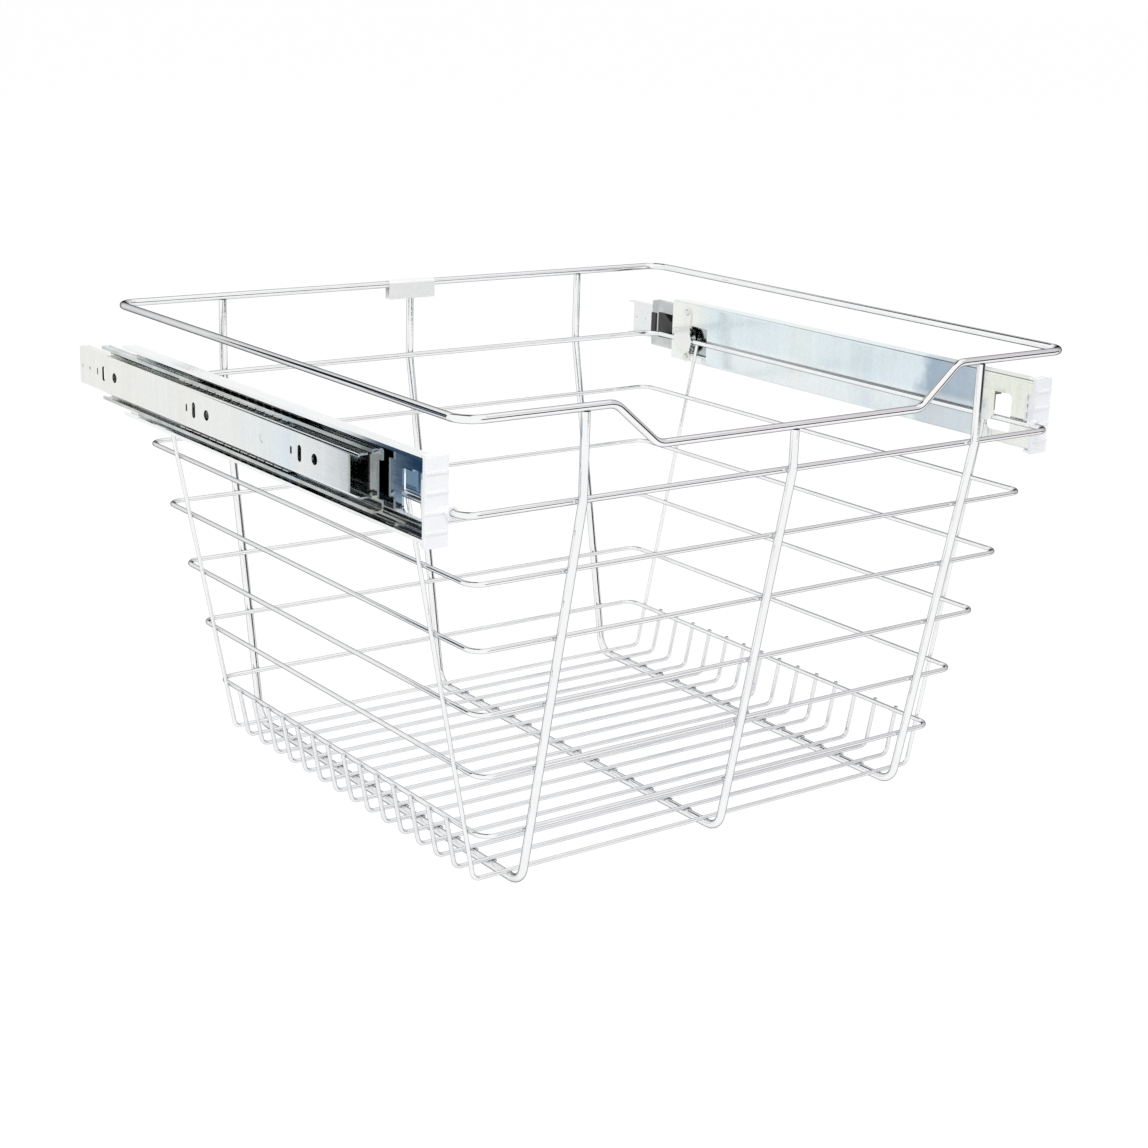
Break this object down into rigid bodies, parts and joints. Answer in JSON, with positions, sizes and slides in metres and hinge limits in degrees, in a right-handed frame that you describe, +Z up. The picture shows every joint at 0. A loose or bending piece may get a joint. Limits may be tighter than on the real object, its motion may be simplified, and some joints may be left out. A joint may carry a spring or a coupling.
{
  "type": "pull-out wire cabinet basket",
  "caption": "Tapered bright wire storage basket with a scooped front rim, hung on side-mounted full-extension ball-bearing slides.",
  "frame": {"origin": "floor level under the lowest heavy wires, centre of the whole part's box as it stands with the slides drawn a little way out", "axes": "+X to the right, +Y into the cabinet, +Z up; the basket's scooped front faces -Y and pulls out along -Y"},
  "size_m": [0.457, 0.4402, 0.2856],
  "materials": {
    "bright_wire": "bright chrome plate on drawn steel wire",
    "bright_plate": "bright chrome plate on folded sheet",
    "zinc_plate": "clear zinc plate, faint blue and yellow tint",
    "zinc_middle": "zinc plate with a thin film of grease",
    "zinc_saddle": "zinc plate, pressed",
    "cage_steel": "zinc plate with a film of grease",
    "ball_steel": "polished bearing steel",
    "clip_plastic": "milky moulded plastic",
    "black_plastic": "moulded plastic",
    "screw_steel": "zinc plate"
  },
  "bodies": {
    "cabinet_rails": {"left_cabinet_rail": "zinc_plate", "right_cabinet_rail": "zinc_plate"},
    "basket": {"top_rim": "bright_wire", "support_ring": "bright_wire", "side_ring_1": "bright_wire", "side_ring_2": "bright_wire", "side_ring_3": "bright_wire", "side_ring_4": "bright_wire", "side_ring_5": "bright_wire", "u_wire_left": "bright_wire", "u_wire_centre": "bright_wire", "u_wire_right": "bright_wire", "tall_wire_front": "bright_wire", "tall_wire_back": "bright_wire", "floor_wire_01": "bright_wire", "floor_wire_02": "bright_wire", "floor_wire_03": "bright_wire", "floor_wire_04": "bright_wire", "floor_wire_05": "bright_wire", "floor_wire_06": "bright_wire", "floor_wire_07": "bright_wire", "floor_wire_08": "bright_wire", "floor_wire_09": "bright_wire", "floor_wire_10": "bright_wire", "floor_wire_11": "bright_wire", "floor_wire_12": "bright_wire", "floor_wire_13": "bright_wire", "floor_wire_14": "bright_wire", "rim_plate": "bright_plate", "left_basket_channel": "zinc_plate", "left_front_clip": "clip_plastic", "left_rear_saddle": "zinc_saddle", "left_saddle_screws": "screw_steel", "right_basket_channel": "zinc_plate", "right_front_clip": "clip_plastic", "right_rear_saddle": "zinc_saddle", "right_saddle_screws": "screw_steel"},
    "left_middle": {"left_middle_member": "zinc_middle", "left_bumper": "black_plastic"},
    "left_outer_bearing": {"left_outer_cage": "cage_steel", "left_outer_balls": "ball_steel"},
    "left_inner_bearing": {"left_inner_cage": "cage_steel", "left_inner_balls": "ball_steel"},
    "right_middle": {"right_middle_member": "zinc_middle", "right_bumper": "black_plastic"},
    "right_outer_bearing": {"right_outer_cage": "cage_steel", "right_outer_balls": "ball_steel"},
    "right_inner_bearing": {"right_inner_cage": "cage_steel", "right_inner_balls": "ball_steel"}
  },
  "joints": [
    {"name": "basket_slide", "type": "slide", "parent": "cabinet_rails", "child": "basket", "axis": [0, -1, 0], "range_m": [-0.062, 0.288]},
    {"name": "left_middle_slide", "type": "slide", "parent": "cabinet_rails", "child": "left_middle", "axis": [0, -1, 0], "range_m": [-0.031, 0.144]},
    {"name": "left_outer_bearing_slide", "type": "slide", "parent": "cabinet_rails", "child": "left_outer_bearing", "axis": [0, -1, 0], "range_m": [-0.0465, 0.216]},
    {"name": "left_inner_bearing_slide", "type": "slide", "parent": "cabinet_rails", "child": "left_inner_bearing", "axis": [0, -1, 0], "range_m": [-0.0155, 0.072]},
    {"name": "right_middle_slide", "type": "slide", "parent": "cabinet_rails", "child": "right_middle", "axis": [0, -1, 0], "range_m": [-0.031, 0.144]},
    {"name": "right_outer_bearing_slide", "type": "slide", "parent": "cabinet_rails", "child": "right_outer_bearing", "axis": [0, -1, 0], "range_m": [-0.0465, 0.216]},
    {"name": "right_inner_bearing_slide", "type": "slide", "parent": "cabinet_rails", "child": "right_inner_bearing", "axis": [0, -1, 0], "range_m": [-0.0155, 0.072]}
  ],
  "couplings": [
    {"joint": "left_middle_slide", "follows": "basket_slide", "ratio": 0.5},
    {"joint": "left_outer_bearing_slide", "follows": "basket_slide", "ratio": 0.75},
    {"joint": "left_inner_bearing_slide", "follows": "basket_slide", "ratio": 0.25},
    {"joint": "right_middle_slide", "follows": "basket_slide", "ratio": 0.5},
    {"joint": "right_outer_bearing_slide", "follows": "basket_slide", "ratio": 0.75},
    {"joint": "right_inner_bearing_slide", "follows": "basket_slide", "ratio": 0.25}
  ]
}
